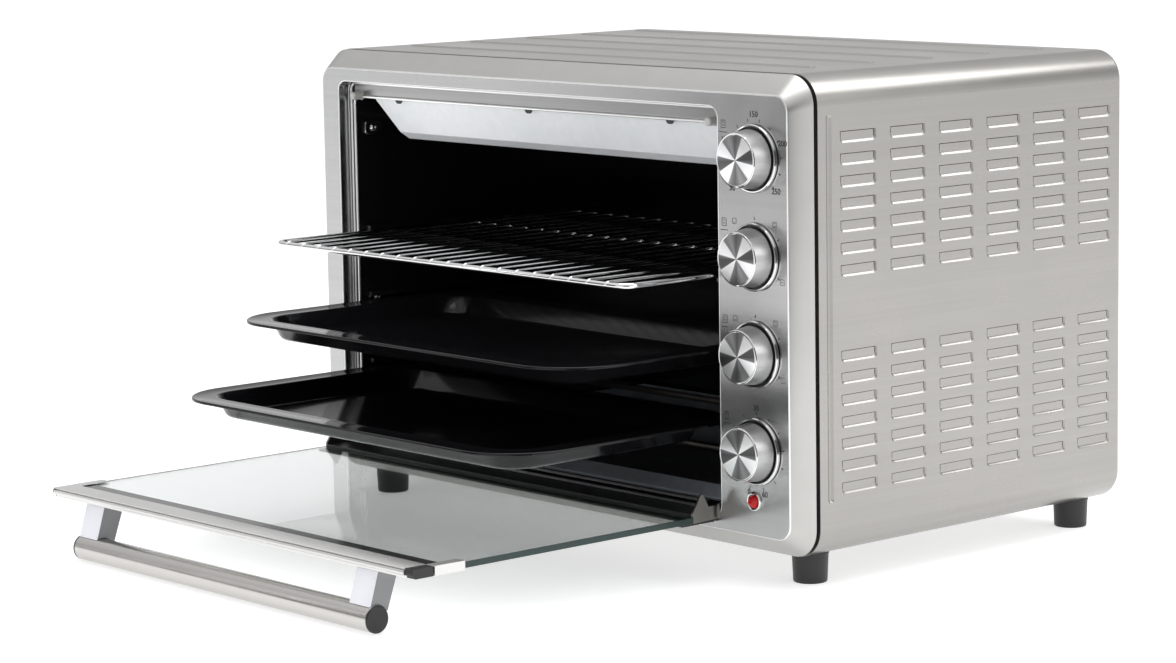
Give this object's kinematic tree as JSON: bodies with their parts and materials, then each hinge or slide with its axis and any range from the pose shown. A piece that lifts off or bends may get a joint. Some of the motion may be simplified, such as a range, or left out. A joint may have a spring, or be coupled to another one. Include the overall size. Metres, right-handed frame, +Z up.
{
  "type": "toaster oven",
  "caption": "Countertop toaster oven with a drop-down glass door, tube handle, control knobs, a wire rack, baking trays and a convection fan, shown open with its shelves drawn out.",
  "frame": {"origin": "on the table under the middle of the part with its door open, level with the undersides of the feet", "axes": "+X to the right seen from the front, +Y from the open door to the back of the body, +Z up"},
  "size_m": [0.6, 0.6974, 0.4014],
  "materials": {
    "brushed_steel": "fine satin brush, lengthwise grain",
    "black_enamel": "gloss vitreous enamel",
    "galvanised_sheet": "bright galvanised sheet steel",
    "chrome": "polished plate",
    "black_plastic": "moulded, fine texture",
    "black_painted_steel": "semi-gloss black paint",
    "door_glass": "clear tempered glass with a green edge",
    "red_lens": "clear red, faceted",
    "white_silicone": "moulded silicone",
    "ceramic": "unglazed"
  },
  "bodies": {
    "oven_body": {"back_panel": "brushed_steel", "base_pan": "brushed_steel", "cavity_front_flange": "black_enamel", "cavity_shell": "black_enamel", "cord_gland": "black_plastic", "door_bumper_left": "white_silicone", "door_bumper_right": "white_silicone", "fan_guard": "black_enamel", "fan_housing": "galvanised_sheet", "fan_motor": "black_painted_steel", "foot_front_left": "black_plastic", "foot_front_right": "black_plastic", "foot_rear_left": "black_plastic", "foot_rear_right": "black_plastic", "front_bezel": "brushed_steel", "heat_shield": "galvanised_sheet", "hinge_pin_left": "brushed_steel", "hinge_pin_right": "brushed_steel", "hinge_plate_left": "brushed_steel", "hinge_plate_right": "brushed_steel", "lower_heat_switch_body": "galvanised_sheet", "lower_heater_front": "galvanised_sheet", "lower_heater_rear": "galvanised_sheet", "outer_wrapper": "brushed_steel", "pilot_lamp": "ceramic", "pilot_lens": "red_lens", "pilot_ring": "chrome", "terminal_block": "ceramic", "thermostat_body": "galvanised_sheet", "timer_body": "galvanised_sheet", "top_reflector": "galvanised_sheet", "upper_heat_switch_body": "galvanised_sheet", "upper_heater_front": "galvanised_sheet", "upper_heater_rear": "galvanised_sheet"},
    "door": {"door_glass": "door_glass", "door_top_rail": "brushed_steel", "door_bottom_rail": "black_painted_steel", "hinge_arm_left": "chrome", "hinge_arm_right": "chrome", "glass_clip_left": "brushed_steel", "glass_clip_right": "brushed_steel", "handle_tube": "brushed_steel", "handle_cap_left": "black_plastic", "handle_cap_right": "black_plastic", "handle_arm_left": "brushed_steel", "handle_arm_right": "brushed_steel"},
    "rack": {"wire_rack": "chrome"},
    "upper_tray": {"upper_baking_tray": "black_enamel"},
    "lower_tray": {"lower_baking_tray": "black_enamel"},
    "crumb_drawer": {"crumb_tray": "galvanised_sheet"},
    "fan": {"fan_rotor": "galvanised_sheet"},
    "thermostat_dial": {"thermostat_knob": "brushed_steel", "thermostat_shaft": "brushed_steel"},
    "upper_heat_switch_dial": {"upper_heat_switch_knob": "brushed_steel", "upper_heat_switch_shaft": "brushed_steel"},
    "lower_heat_switch_dial": {"lower_heat_switch_knob": "brushed_steel", "lower_heat_switch_shaft": "brushed_steel"},
    "timer_dial": {"timer_knob": "brushed_steel", "timer_shaft": "brushed_steel"}
  },
  "joints": [
    {"name": "door_hinge", "type": "hinge", "parent": "oven_body", "child": "door", "pos_m": [0, -0.02725, 0.0549], "axis": [-1, 0, 0], "range_deg": [0, 90]},
    {"name": "rack_slide", "type": "slide", "parent": "oven_body", "child": "rack", "axis": [0, 1, 0], "range_m": [0, 0.1016]},
    {"name": "upper_tray_slide", "type": "slide", "parent": "oven_body", "child": "upper_tray", "axis": [0, 1, 0], "range_m": [0, 0.2394]},
    {"name": "lower_tray_slide", "type": "slide", "parent": "oven_body", "child": "lower_tray", "axis": [0, 1, 0], "range_m": [0, 0.2984]},
    {"name": "crumb_tray_slide", "type": "slide", "parent": "oven_body", "child": "crumb_drawer", "axis": [0, 1, 0], "range_m": [-0.24, 0]},
    {"name": "thermostat_turn", "type": "hinge", "parent": "oven_body", "child": "thermostat_dial", "pos_m": [0.2528, -0.02925, 0.3356], "axis": [0, 1, 0], "range_deg": [0, 270]},
    {"name": "upper_heat_switch_turn", "type": "hinge", "parent": "oven_body", "child": "upper_heat_switch_dial", "pos_m": [0.2528, -0.02925, 0.2597], "axis": [0, 1, 0], "range_deg": [0, 240]},
    {"name": "lower_heat_switch_turn", "type": "hinge", "parent": "oven_body", "child": "lower_heat_switch_dial", "pos_m": [0.2528, -0.02925, 0.1838], "axis": [0, 1, 0], "range_deg": [0, 240]},
    {"name": "timer_turn", "type": "hinge", "parent": "oven_body", "child": "timer_dial", "pos_m": [0.2528, -0.02925, 0.1079], "axis": [0, 1, 0], "range_deg": [0, 330]},
    {"name": "fan_spin", "type": "hinge", "parent": "oven_body", "child": "fan", "pos_m": [0, 0.15655, 0.2095], "axis": [1, 0, 0], "continuous": true}
  ],
  "couplings": [
    {"joint": "rack_slide", "follows": "door_hinge", "m_per_rad": 0.064426},
    {"joint": "upper_tray_slide", "follows": "door_hinge", "m_per_rad": 0.15215},
    {"joint": "lower_tray_slide", "follows": "door_hinge", "m_per_rad": 0.18971}
  ]
}
